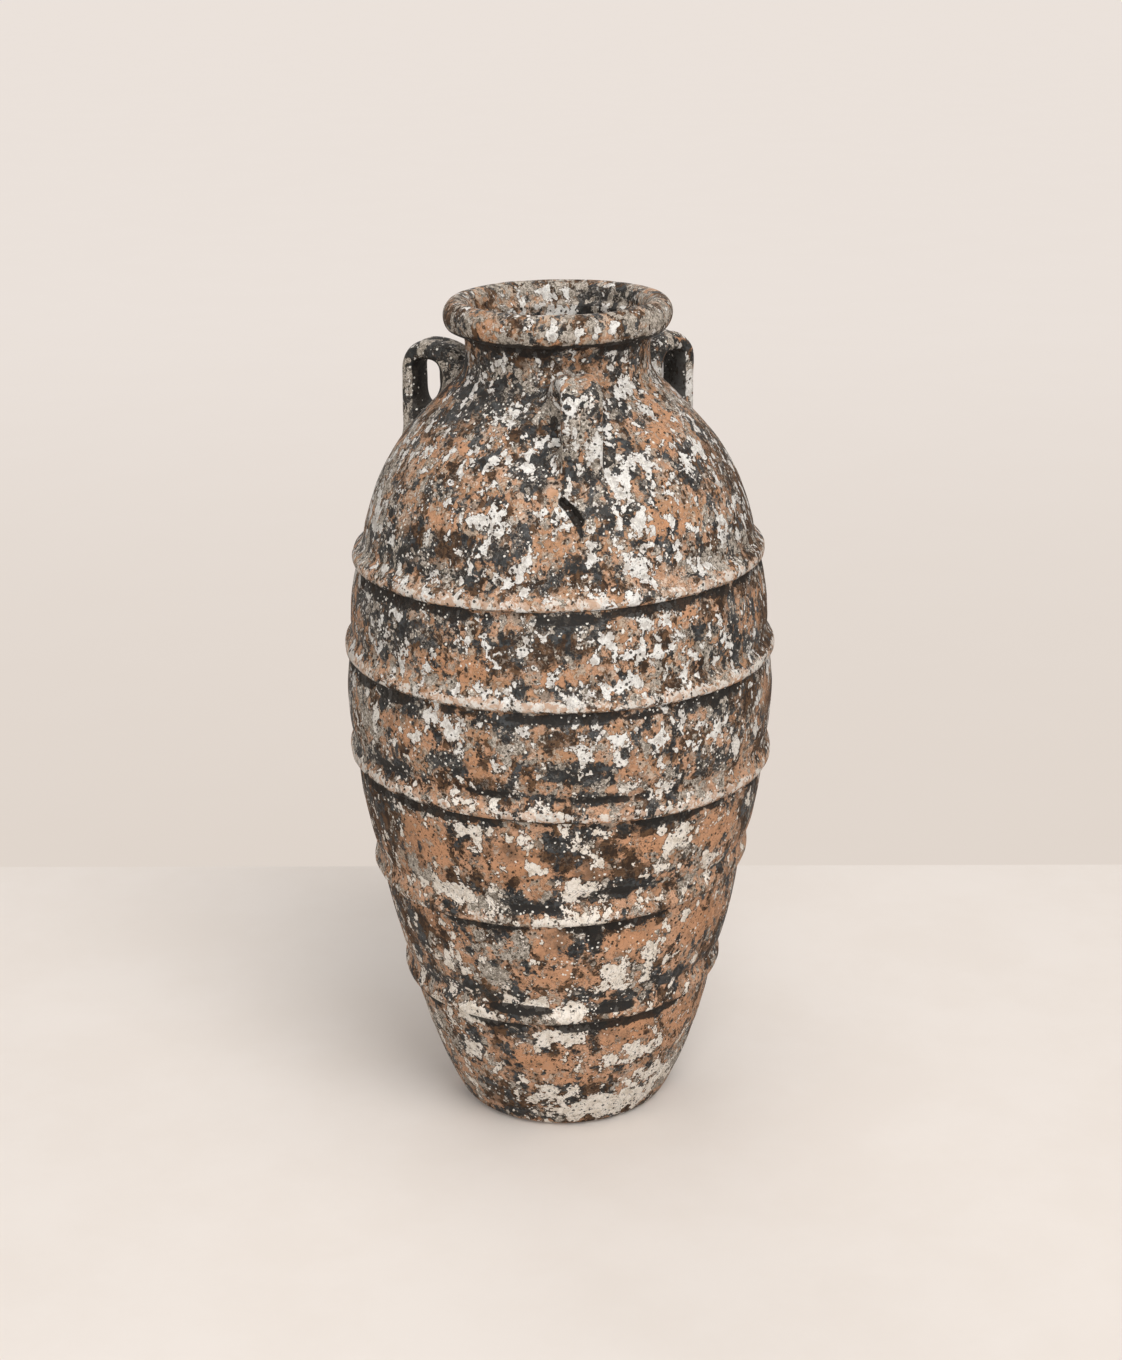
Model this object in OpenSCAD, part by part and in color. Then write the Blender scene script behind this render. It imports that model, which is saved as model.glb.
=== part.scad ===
// Terracotta storage jar: a slab base, five wall rings, a shoulder, a neck and a rolled rim,
// luted at lap joints, with a clay band over each wall joint and three pulled strap handles.

/* [Body] */
// Height from the floor to the top of the rim
jar_height = 800; // [700:10:1000]
// Radius of the wall at the belly, bands left out
belly_radius = 203; // [185:1:240]
// Radius of the flat that stands on the floor
foot_radius = 92; // [70:1:110]
// Rounding between the foot and the wall
heel_radius = 14; // [8:1:18]
// Thickness of the wall rings and the shoulder
wall = 14; // [10:0.5:17]
// Thickness of the slab that closes the bottom
floor_thickness = 18; // [14:1:26]

/* [Neck and rim] */
// Outer radius of the neck at its narrowest
neck_radius = 85.5; // [82:0.5:92]
// Thickness of the neck at its narrowest, down to the straight throat inside it
neck_wall = 11.5; // [10:0.5:14]
// Length of the straight throat
throat_length = 36; // [20:1:44]
// How far the middle of the rolled rim stands out past the neck
rim_overhang = 7.5; // [5:0.5:11]
// Width of the rolled rim, across its roll
rim_width = 26; // [22:0.5:30]
// Height of the rolled rim
rim_height = 31; // [26:0.5:36]

/* [Joints and bands] */
// Height of the lap between two pieces of the wall
lap = 9; // [5:0.5:11]
// Height of each clay band
band_height = 16; // [12:0.5:22]
// How far each band stands out from the wall
band_proud = 6.5; // [3:0.5:10]

/* [Handles] */
// Distance from the axis to the outer face of a handle, as a share of the belly's radius
handle_reach_share = 0.764; // [0.74:0.002:0.8]
// Depth from the top of the rim down to the top of a handle
handle_drop = 47; // [42:1:58]
// Thickness of the strap
strap_thickness = 17; // [13:0.5:19]
// Width of the strap
strap_width = 37; // [28:1:44]
// Clear width of the finger gap inside the loop
finger_gap = 22; // [18:1:26]
// Depth of the groove along the outside of the strap
strap_groove = 2; // [0:0.5:3]
// How much the strap spreads to each side where its ends are pressed on
strap_spread = 5; // [2:0.5:8]

/* [Hidden] */
$fn = 96;

clay = [0.70, 0.49, 0.37];
band_clay = [0.80, 0.68, 0.58];
grey_clay = [0.55, 0.52, 0.49];

// Lean of the wall as it leaves the heel, and how far the slab's edge stands above its floor
heel_lean = 27;
slab_lip = 2;
// Joints of the wall over the slab: heights as shares of the jar's height, and radii as shares
// of the way from the foot's radius out to the belly's
joint_height_shares = [0.182, 0.328, 0.463, 0.591, 0.704];
joint_radius_shares = [0.525, 0.764, 0.946, 0.958, 0.858];
// How far each wall ring swells past the line between its joints, as a share of its own height
swell_shares = [0.036, 0.033, 0.036, 0.062, 0.045];

// Joint of shoulder and neck: its height, its radius on the way from the neck out to the belly,
// and the slope of the clay there from the upright
neck_joint_height_share = 0.890;
neck_joint_radius_share = 0.183;
neck_slope = 46;
// Lean of the wall at the foot of the shoulder, and the pull of the shoulder's curve at its ends
shoulder_lean = 9;
shoulder_pull_shares = [0.50, 0.42];
// Height of the neck's narrowest place, the pull of its curve, and its flare under the rim
waist_height_share = 0.940;
neck_pull_share = 0.55;
neck_flare = 3;

// Roundness of a band above and below its crest: under 1 is full, over 1 is hollow
band_top_power = 1.3;
band_underside_power = 0.45;
// Where the roll of the rim leaves its seat outside and inside, as angles round the roll
roll_start = -105;
roll_end = 195;
// Roundness of the strap's section: 2 is an oval, and more is squarer
strap_power = 2.6;
// Width of the strap's groove, as a share of half the strap
groove_share = 0.3;
// How far the strap's root and foot are buried under the surface, before the fit is cut
burial = 7;
// Height of the foot's spread onto the shoulder, and how far it runs out
foot_spread_height = 30;
foot_run_out = 9;

wall_steps = 6;
curve_steps = 12;
heel_step = 9;
roll_step = 15;
arch_step = 15;
leg_steps = 3;
foot_steps = 5;
strap_sides = 24;

rim_seat = jar_height - rim_height;
throat_radius = neck_radius - neck_wall;
rim_radius = neck_radius + rim_overhang;
handle_reach = belly_radius * handle_reach_share;

function mix(a, b, t) = a + (b - a) * t;
function upright(way) = [-sin(way), cos(way)];
function turned(p) = [-p[1], p[0]];

// Cubic curve between p[0] and p[3], drawn by p[1] and p[2], and the same curve set inwards
function curve(p, t) = p[0] * pow(1 - t, 3) + 3 * p[1] * t * pow(1 - t, 2)
    + 3 * p[2] * t * t * (1 - t) + p[3] * pow(t, 3);
function curve_way(p, t) = let (w = (p[1] - p[0]) * pow(1 - t, 2)
    + 2 * (p[2] - p[1]) * t * (1 - t) + (p[3] - p[2]) * t * t) w / norm(w);
function curve_inset(p, t, depth) = curve(p, t) + depth * turned(curve_way(p, t));
function curve_points(p, first = 0) = [for (k = [first:curve_steps]) curve(p, k / curve_steps)];

heel_end = [foot_radius + heel_radius * cos(heel_lean), heel_radius * (1 - sin(heel_lean))];
slab_joint = let (z = floor_thickness + slab_lip)
    [heel_end[0] + (z - heel_end[1]) * tan(heel_lean), z];
joints = concat([slab_joint], [for (i = [0:len(joint_height_shares) - 1]) [
    mix(foot_radius, belly_radius, joint_radius_shares[i]), jar_height * joint_height_shares[i]]]);
shoulder_joint = joints[5];
neck_joint = [mix(neck_radius, belly_radius, neck_joint_radius_share),
    jar_height * neck_joint_height_share];
neck_waist = [neck_radius, jar_height * waist_height_share];
rim_joint = [neck_radius + neck_flare, rim_seat];

// Outside of wall ring i at height z
function ring_outside(i, z) = let (a = joints[i], b = joints[i + 1], t = (z - a[1]) / (b[1] - a[1]))
    [mix(a[0], b[0], t) + 4 * t * (1 - t) * swell_shares[i] * (b[1] - a[1]), z];
function ring_height(i, k) = mix(joints[i][1], joints[i + 1][1], k / wall_steps);

shoulder_rise = neck_joint[1] - shoulder_joint[1];
shoulder_curve = [shoulder_joint,
    shoulder_joint + upright(shoulder_lean) * shoulder_rise * shoulder_pull_shares[0],
    neck_joint - upright(neck_slope) * shoulder_rise * shoulder_pull_shares[1], neck_joint];
neck_pull = (neck_waist[1] - neck_joint[1]) * neck_pull_share;
neck_curve = [neck_joint, neck_joint + upright(neck_slope) * neck_pull,
    neck_waist - [0, neck_pull], neck_waist];
flare_pull = (rim_joint[1] - neck_waist[1]) * neck_pull_share;
flare_curve = [neck_waist, neck_waist + [0, flare_pull],
    rim_joint - [neck_flare, flare_pull] / 2, rim_joint];

// The two inner points of lap joint i, at the middle and the inside of the wall
function lap_low(i) = joints[i] - [wall / 2, 0];
function lap_top(i, depth) = i < 5 ? ring_outside(i, joints[i][1] + lap) - [depth, 0]
    : shoulder_joint + upright(shoulder_lean) * lap - [depth, 0];
neck_lap_low = neck_joint + turned(upright(neck_slope)) * wall / 2;
neck_lap_top = neck_lap_low + upright(neck_slope) * lap;
neck_lap_inside = neck_lap_top + turned(upright(neck_slope)) * wall / 2;
rim_lap_radius = (throat_radius + rim_joint[0]) / 2;
throat_top = rim_seat + lap;
throat_bottom = throat_top - throat_length;

// Outer line of the whole body, bands, rim and handles left out, from the foot to the rim
body_line = concat(
    [for (i = [0:4], k = [0:wall_steps - 1]) ring_outside(i, ring_height(i, k))],
    curve_points(shoulder_curve), curve_points(neck_curve, 1), curve_points(flare_curve, 1));
function body_radius(z) = lookup(z, [for (p = body_line) [p[1], p[0]]]);
function body_height(r) = lookup(r, concat(curve_points(shoulder_curve), curve_points(neck_curve, 1)));

module base_slab() {
    inside = lap_top(0, wall);
    heel = [for (a = [-90:heel_step:-heel_lean]) [foot_radius, heel_radius] + heel_radius * [cos(a), sin(a)]];
    corner = [inside, inside - upright(-heel_lean) * (inside[1] - floor_thickness),
        [inside[0] - heel_radius / 2, floor_thickness], [inside[0] - heel_radius, floor_thickness]];
    color(clay) rotate_extrude() polygon(concat([[0, 0]], heel,
        [joints[0], lap_low(0), lap_top(0, wall / 2)], curve_points(corner), [[0, floor_thickness]]));
}

module wall_ring(i) {
    color(clay) rotate_extrude() polygon(concat(
        [for (k = [0:wall_steps]) ring_outside(i, ring_height(i, k))],
        [lap_low(i + 1), lap_top(i + 1, wall / 2), lap_top(i + 1, wall)],
        [for (k = [wall_steps:-1:1]) ring_outside(i, ring_height(i, k)) - [wall, 0]],
        [lap_top(i, wall), lap_top(i, wall / 2), lap_low(i)]));
}

module shoulder() {
    color(clay) rotate_extrude() polygon(concat(curve_points(shoulder_curve),
        [neck_lap_low, neck_lap_top, neck_lap_inside],
        [for (k = [curve_steps:-1:1]) curve_inset(shoulder_curve, k / curve_steps, wall)],
        [lap_top(5, wall), lap_top(5, wall / 2), lap_low(5)]));
}

module neck() {
    pull = (throat_bottom - neck_lap_inside[1]) * neck_pull_share;
    inside = [[throat_radius, throat_bottom], [throat_radius, throat_bottom - pull],
        neck_lap_inside + upright(neck_slope) * pull, neck_lap_inside];
    color(clay) rotate_extrude() polygon(concat(curve_points(neck_curve), curve_points(flare_curve, 1),
        [[rim_lap_radius, rim_seat], [rim_lap_radius, throat_top], [throat_radius, throat_top]],
        curve_points(inside), [neck_lap_top, neck_lap_low]));
}

module rim() {
    middle = [rim_radius, jar_height - rim_height / 2];
    color(band_clay) rotate_extrude() polygon(concat([[rim_lap_radius, rim_seat], rim_joint],
        [for (a = [roll_start:roll_step:roll_end]) middle + [rim_width * cos(a), rim_height * sin(a)] / 2],
        [[throat_radius, throat_top], [rim_lap_radius, throat_top]]));
}

// Clay band i, pressed on over lap joint i
module band(i) {
    z = joints[i][1];
    reach = band_height / 2;
    color(band_clay) rotate_extrude() polygon(concat(
        [[body_radius(z - reach), z - reach]],
        [for (a = [-90 + roll_step:roll_step:90 - roll_step]) let (h = z + reach * sin(a))
            [body_radius(h) + band_proud * pow(cos(a), a < 0 ? band_underside_power : band_top_power), h]],
        [[body_radius(z + reach), z + reach], joints[i]]));
}

// Middle of the round top of the finger gap, as radius and height
gap_middle = [handle_reach - strap_thickness - finger_gap / 2,
    jar_height - handle_drop - strap_thickness - finger_gap / 2];
root_radius = neck_radius - burial;
root_depth = gap_middle[0] - root_radius - finger_gap / 2;
root_bottom = body_height(gap_middle[0] - finger_gap / 2) - burial;
foot_bottom = body_height(handle_reach + foot_run_out) - burial / 2;
foot_top = foot_bottom + foot_spread_height;

// A station is [inner point, outer point, half width] of the strap. Over the finger gap, a goes
// from 180 at the root to 0 at the outer leg, and the root thickens to reach the neck.
function arch_station(a) = let (back = max(0, (a - 90) / 90), way = [cos(a), sin(a)],
    deep = mix(strap_thickness, root_depth, back * back))
    [gap_middle + finger_gap / 2 * way, gap_middle + (finger_gap / 2 + deep) * way,
        strap_width / 2 + strap_spread * back];
function root_station(t) = let (z = mix(root_bottom, gap_middle[1], t))
    [[gap_middle[0] - finger_gap / 2, z], [root_radius, z], strap_width / 2 + strap_spread];
function leg_station(z) = let (spread = pow(max(0, (foot_top - z) / foot_spread_height), 2))
    [[gap_middle[0] + finger_gap / 2, z], [handle_reach + foot_run_out * spread, z],
        strap_width / 2 + strap_spread * spread];
stations = concat([for (k = [0:leg_steps - 1]) root_station(k / leg_steps)],
    [for (a = [180:-arch_step:0]) arch_station(a)],
    [for (k = [1:leg_steps]) leg_station(mix(gap_middle[1], foot_top, k / leg_steps))],
    [for (k = [1:foot_steps]) leg_station(mix(foot_top, foot_bottom, k / foot_steps))]);

function rounded(v) = sign(v) * pow(abs(v), 2 / strap_power);
function strap_point(s, b) = let (across = rounded(sin(b)), out = rounded(cos(b)),
    groove = out > 0 ? strap_groove * exp(-pow(across / groove_share, 2)) : 0,
    way = (s[1] - s[0]) / norm(s[1] - s[0]),
    p = (s[0] + s[1]) / 2 + way * (out * norm(s[1] - s[0]) / 2 - groove))
    [s[2] * across, -p[0], p[1]];

module strap() {
    points = [for (s = stations, j = [0:strap_sides - 1]) strap_point(s, 360 * j / strap_sides)];
    last = (len(stations) - 1) * strap_sides;
    polyhedron(points, concat(
        [for (k = [0:len(stations) - 2], j = [0:strap_sides - 1]) let (
            a = k * strap_sides + j, b = k * strap_sides + (j + 1) % strap_sides)
            each [[a, b, b + strap_sides], [a, b + strap_sides, a + strap_sides]]],
        [[for (j = [strap_sides - 1:-1:0]) j], [for (j = [0:strap_sides - 1]) last + j]]));
}

// Strap handle, fitted to the outside of the shoulder and the neck
module handle(turn) {
    color(grey_clay) rotate([0, 0, turn]) difference() {
        strap();
        rotate_extrude() polygon(concat([[0, shoulder_joint[1]]], curve_points(shoulder_curve),
            curve_points(neck_curve, 1), curve_points(flare_curve, 1), [[0, rim_seat]]));
    }
}

module wall_ring_1() wall_ring(0);
module wall_ring_2() wall_ring(1);
module wall_ring_3() wall_ring(2);
module wall_ring_4() wall_ring(3);
module wall_ring_5() wall_ring(4);
module band_1() band(1);
module band_2() band(2);
module band_3() band(3);
module band_4() band(4);
module band_5() band(5);
module handle_front() handle(0);
module handle_left() handle(-120);
module handle_right() handle(120);

base_slab();
wall_ring_1();
wall_ring_2();
wall_ring_3();
wall_ring_4();
wall_ring_5();
shoulder();
neck();
rim();
band_1();
band_2();
band_3();
band_4();
band_5();
handle_front();
handle_left();
handle_right();
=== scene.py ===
"""Terracotta storage jar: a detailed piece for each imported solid, a weathered clay finish,
a plain studio floor, and a camera at the photograph's angle. Shapes are worked out in mm and
made in metres. Angles round the jar run from the front handle, at -Y, towards +X."""

import bmesh
import bpy
import numpy as np
from mathutils import Matrix, Vector


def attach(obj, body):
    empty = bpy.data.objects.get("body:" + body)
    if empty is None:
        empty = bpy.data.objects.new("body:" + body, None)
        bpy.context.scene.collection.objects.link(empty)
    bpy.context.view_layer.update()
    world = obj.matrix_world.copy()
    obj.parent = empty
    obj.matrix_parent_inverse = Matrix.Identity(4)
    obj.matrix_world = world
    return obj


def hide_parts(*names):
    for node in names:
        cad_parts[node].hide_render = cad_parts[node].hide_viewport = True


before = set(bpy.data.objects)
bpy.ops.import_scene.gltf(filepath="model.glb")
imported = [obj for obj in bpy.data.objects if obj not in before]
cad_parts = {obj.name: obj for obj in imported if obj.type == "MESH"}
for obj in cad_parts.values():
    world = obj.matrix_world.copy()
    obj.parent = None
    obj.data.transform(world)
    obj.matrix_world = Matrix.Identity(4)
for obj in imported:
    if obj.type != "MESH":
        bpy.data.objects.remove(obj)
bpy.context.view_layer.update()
scene = bpy.context.scene

MM = 0.001
JAR_HEIGHT, BELLY, FOOT, HEEL, WALL, FLOOR = 800, 203, 92, 14, 14, 18
NECK, NECK_WALL, THROAT_LENGTH, RIM_OVERHANG = 85.5, 11.5, 36, 7.5
RIM_WIDTH, RIM_HEIGHT, LAP, BAND_HEIGHT, BAND_PROUD = 26, 31, 9, 16, 6.5
REACH, DROP, STRAP, STRAP_WIDTH, GAP = 0.764 * BELLY, 47, 17, 37, 22
GROOVE, SPREAD, BURIAL = 2.4, 5, 7


# Noise that is the same in each run, over points in mm

HASH_CELL = np.array([73856093, 19349663, 83492791])
HASH_SEED, HASH_FIRST, HASH_SECOND, LOW_BITS = 97531, 0x2C1B3C6D, 0x297A2D39, 0xFFFFFFFF
SEED_STEP, NOISE_START = 31, 17


def steady(cells, seed):
    """A repeatable number from -1 to 1 for each row of whole numbers."""
    n = (cells.astype(np.int64) @ HASH_CELL + seed * HASH_SEED) & LOW_BITS
    n = ((n ^ (n >> 15)) * HASH_FIRST) & LOW_BITS
    n = ((n ^ (n >> 12)) * HASH_SECOND) & LOW_BITS
    return ((n ^ (n >> 15)) & 0xFFFF) / 32767.5 - 1


def noise(points, size, seed, octaves=1):
    """Smooth noise from -1 to 1, with lumps about size mm across."""
    total = np.zeros(len(points))
    for k in range(octaves):
        q = points / size * 2 ** k + NOISE_START
        cell = np.floor(q)
        t = q - cell
        t = t * t * (3 - 2 * t)
        for corner in np.ndindex(2, 2, 2):
            weight = np.prod(np.where(corner, t, 1 - t), axis=1)
            total += weight * steady(cell + corner, seed + SEED_STEP * k) / 2 ** k
    return total / (2 - 0.5 ** (octaves - 1))


def smooth(x, low, high):
    """0 below low and 1 over high, smoothly."""
    t = np.clip((x - low) / (high - low), 0, 1)
    return t * t * (3 - 2 * t)


# Outline of the jar, as (radius, height), worked out as in the CAD

def mix(a, b, t):
    return a + (b - a) * t


def upright(way):
    """The direction that leans in from straight up by way degrees."""
    return np.array([-np.sin(np.radians(way)), np.cos(np.radians(way))])


def cubic(p, count):
    """A curve from the first of four places to the last, drawn towards the two between them."""
    p = np.array([np.asarray(place, float) for place in p])
    t = np.linspace(0, 1, count)[:, None]
    return p[0] * (1 - t) ** 3 + 3 * p[1] * t * (1 - t) ** 2 + 3 * p[2] * t * t * (1 - t) + p[3] * t ** 3


def unit(v, least=0.0):
    """Each vector at length 1, save that ones shorter than least are only divided by least."""
    return v / np.maximum(np.linalg.norm(v, axis=-1, keepdims=True), least)


def inset(line, depth):
    """A line set to its left by depth."""
    way = unit(np.gradient(line, axis=0))
    return line + np.stack([-way[:, 1], way[:, 0]], 1) * depth


HEEL_LEAN, SHOULDER_LEAN, NECK_LEAN = 27, 9, 46     # degrees from upright
SLAB_RISE, FLARE_REACH, PULL = 2, 3, 0.55
# Each upper joint, as shares of the way from the foot's to the belly's radius and of the height, and
# how much the wall between two joints swells, as a share of its rise
JOINTS = ((0.525, 0.182), (0.764, 0.328), (0.946, 0.463), (0.958, 0.591), (0.858, 0.704))
SWELLS = (0.036, 0.033, 0.036, 0.062, 0.045)
heel_lean = np.radians(HEEL_LEAN)
heel_end = np.array([FOOT + HEEL * np.cos(heel_lean), HEEL * (1 - np.sin(heel_lean))])
slab_top = FLOOR + SLAB_RISE
joints = [np.array([heel_end[0] + (slab_top - heel_end[1]) * np.tan(heel_lean), slab_top])]
joints += [np.array([mix(FOOT, BELLY, r), JAR_HEIGHT * h]) for r, h in JOINTS]
neck_joint = np.array([mix(NECK, BELLY, 0.183), JAR_HEIGHT * 0.890])
waist = np.array([NECK, JAR_HEIGHT * 0.940])
rim_seat = JAR_HEIGHT - RIM_HEIGHT
rim_joint = np.array([NECK + FLARE_REACH, rim_seat])
rise = neck_joint[1] - joints[5][1]
shoulder_pull = [joints[5], joints[5] + upright(SHOULDER_LEAN) * rise * 0.50,
                 neck_joint - upright(NECK_LEAN) * rise * 0.42, neck_joint]
pull = (waist[1] - neck_joint[1]) * PULL
neck_pull = [neck_joint, neck_joint + upright(NECK_LEAN) * pull, waist - [0, pull], waist]
flare = (rim_joint[1] - waist[1]) * PULL
flare_pull = [waist, waist + [0, flare], rim_joint - np.array([FLARE_REACH, flare]) / 2, rim_joint]


def ring_outside(i, z):
    """The outside of the wall between joint i and the next, at heights z."""
    a, b = joints[i], joints[i + 1]
    t = (np.asarray(z, float) - a[1]) / (b[1] - a[1])
    return np.stack([mix(a[0], b[0], t) + 4 * t * (1 - t) * SWELLS[i] * (b[1] - a[1]),
                     np.broadcast_to(z, t.shape)], -1)


heel_turn = np.radians(np.linspace(-90, -HEEL_LEAN, 12))
heel_line = np.stack([FOOT + HEEL * np.cos(heel_turn), HEEL + HEEL * np.sin(heel_turn)], 1)
even = np.linspace(0, 1, 60)[:-1]
shoulder_line, neck_line, flare_line = (cubic(p, 60) for p in (shoulder_pull, neck_pull, flare_pull))
ring_lines = [ring_outside(i, mix(joints[i][1], joints[i + 1][1], even)) for i in range(5)]
outline = np.vstack([heel_line, *ring_lines, shoulder_line, neck_line[1:], flare_line[1:]])
outline_way = unit(np.gradient(outline, axis=0))


def body(z):
    """The radius of the wall at height z."""
    return np.interp(z, outline[:, 1], outline[:, 0])


def facing(z):
    """The outward direction of the wall at height z, as (radial, up)."""
    return np.interp(z, outline[:, 1], outline_way[:, 1]), -np.interp(z, outline[:, 1], outline_way[:, 0])


# Where the potter's hand left it

# For each band, from the lowest: how far its line wanders up and down round the jar, in mm, as
# (mean, to the right, to the front, right again at twice the rate)
WAVES = ((1.4, 3.6, -0.6, 1.2), (0.8, 6.0, -3.4, 0.8), (0.4, -0.6, -2.4, -2.6),
         (2.2, -0.6, -0.2, 0.4), (1.4, 2.4, 0.6, 1.0))


def wave(i, a):
    m, right, front, twice = WAVES[i]
    return m + right * np.sin(a) + front * np.cos(a) + twice * np.sin(2 * a)


def polar(points):
    """The angle, the radius and the height of each point."""
    return np.arctan2(points[:, 0], -points[:, 1]), np.hypot(points[:, 0], points[:, 1]), points[:, 2]


def from_polar(a, r, z):
    return np.stack(np.broadcast_arrays(r * np.sin(a), -r * np.cos(a), z), -1)


# The soft grooves by each band, as (height over its joint, half width, share of the depth)
GROOVES = ((15, 5.5, 1), (-13, 4, 0.5))
BAND_PULL = 28      # how far up and down, in mm, a wandering band takes the wall with it
SHRINK = 0.9975     # keeps the lumps inside the CAD's box
LEAN = -0.9         # how far to the right, in mm, the belly is off the middle of the foot and the rim


def settle(p):
    """Moves points from the true turned shape to the hand-made one: bands that wander, a wall that
    leans and ripples, a lumpy rim. Points that touch stay together."""
    a, r, z = polar(p)
    grounded = smooth(z, 0, 16)
    on_rim = smooth(z, 764, 774)
    outer = 1 - smooth(body(z) - r, 4, 12)
    up = sum(wave(i, a) * np.exp(-((z - joints[i + 1][1]) / BAND_PULL) ** 2) for i in range(5))
    lumps = (0.9 * noise(p, 105, 1) + 0.45 * noise(p, 36, 2, 2)
             + 0.28 * noise(p * [1, 1, 3.2], 46, 3) + 0.16 * noise(p, 9, 4, 2))
    inner_lumps = 1.1 * noise(p * [0.35, 0.35, 1], 26, 5, 2)
    out = mix(inner_lumps, lumps, outer) * grounded * (1 - on_rim) * smooth(r, 0, 8)
    for i in range(5):
        over = z - joints[i + 1][1]
        depth = 0.9 + 0.5 * noise(p, 60, 11 + i)
        groove = sum(share * np.exp(-((over - height) / wide) ** 2) for height, wide, share in GROOVES)
        out -= outer * depth * groove
    nr, nz = facing(z)
    radial = out * nr
    height = up + out * nz
    # the roll of the rim: lumps stand out from its middle, more so underneath
    roll = np.stack([r - (NECK + RIM_OVERHANG), z - (JAR_HEIGHT - RIM_HEIGHT / 2)], 1)
    away = unit(roll, 1)
    under = smooth(-roll[:, 1], -4, 12)
    swell = on_rim * (0.5 * noise(p, 48, 21) + 0.3 * noise(p, 17, 22, 2) - 0.6
                      + under * (0.8 * noise(p, 30, 23) + 0.2))
    swell *= smooth(r, NECK - NECK_WALL, NECK - NECK_WALL + 5)
    radial += swell * away[:, 0]
    height += swell * away[:, 1] + on_rim * (0.5 * np.sin(a + 0.2) - 0.5)
    lean = LEAN * smooth(z, 60, 300) * (1 - smooth(z, 560, 760))
    settled = from_polar(a, (r + radial) * SHRINK, z + height)
    settled[:, 0] += lean
    return settled


def along_wall(points):
    """The outward direction of the wall next to each point."""
    a, _, z = polar(points)
    nr, nz = facing(z)
    return from_polar(a, nr, nz)


# The strokes of the gouge and of its crack, as (start, end, half width, depth). A place is the way
# along the front at GOUGE_RADIUS, to the right, and the height
GOUGE = (((-19.5, 647.5), (-12.5, 641.0), 4.0, 7.5), ((-12.5, 641.0), (-5.5, 631.5), 4.8, 8.5),
         ((-5.5, 631.0), (-4.5, 620.0), 1.7, 1.5))
GOUGE_RADIUS, OUTER_SKIN = 165, 4


def gouge(points):
    """How deep the slanting gouge under the front handle's foot is, and the crack that runs on from it."""
    a, r, z = polar(points)
    across = np.stack([a * GOUGE_RADIUS, z], 1)
    depth = np.zeros(len(points))
    for start, end, wide, deep in GOUGE:
        start, end = np.array(start), np.array(end)
        line = end - start
        t = np.clip((across - start) @ line / (line @ line), 0, 1)
        far = np.linalg.norm(across - start - t[:, None] * line, axis=1)
        far += 0.5 * noise(points, 5, 41)
        depth = np.maximum(depth, deep * (1 - smooth(far, wide * 0.55, wide * 1.05)))
    return depth * (r > body(z) - OUTER_SKIN)


# What lies on the clay: five kinds of stain, each from the rim down, as (angle, height, half width in
# degrees, half height, strength)

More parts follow.
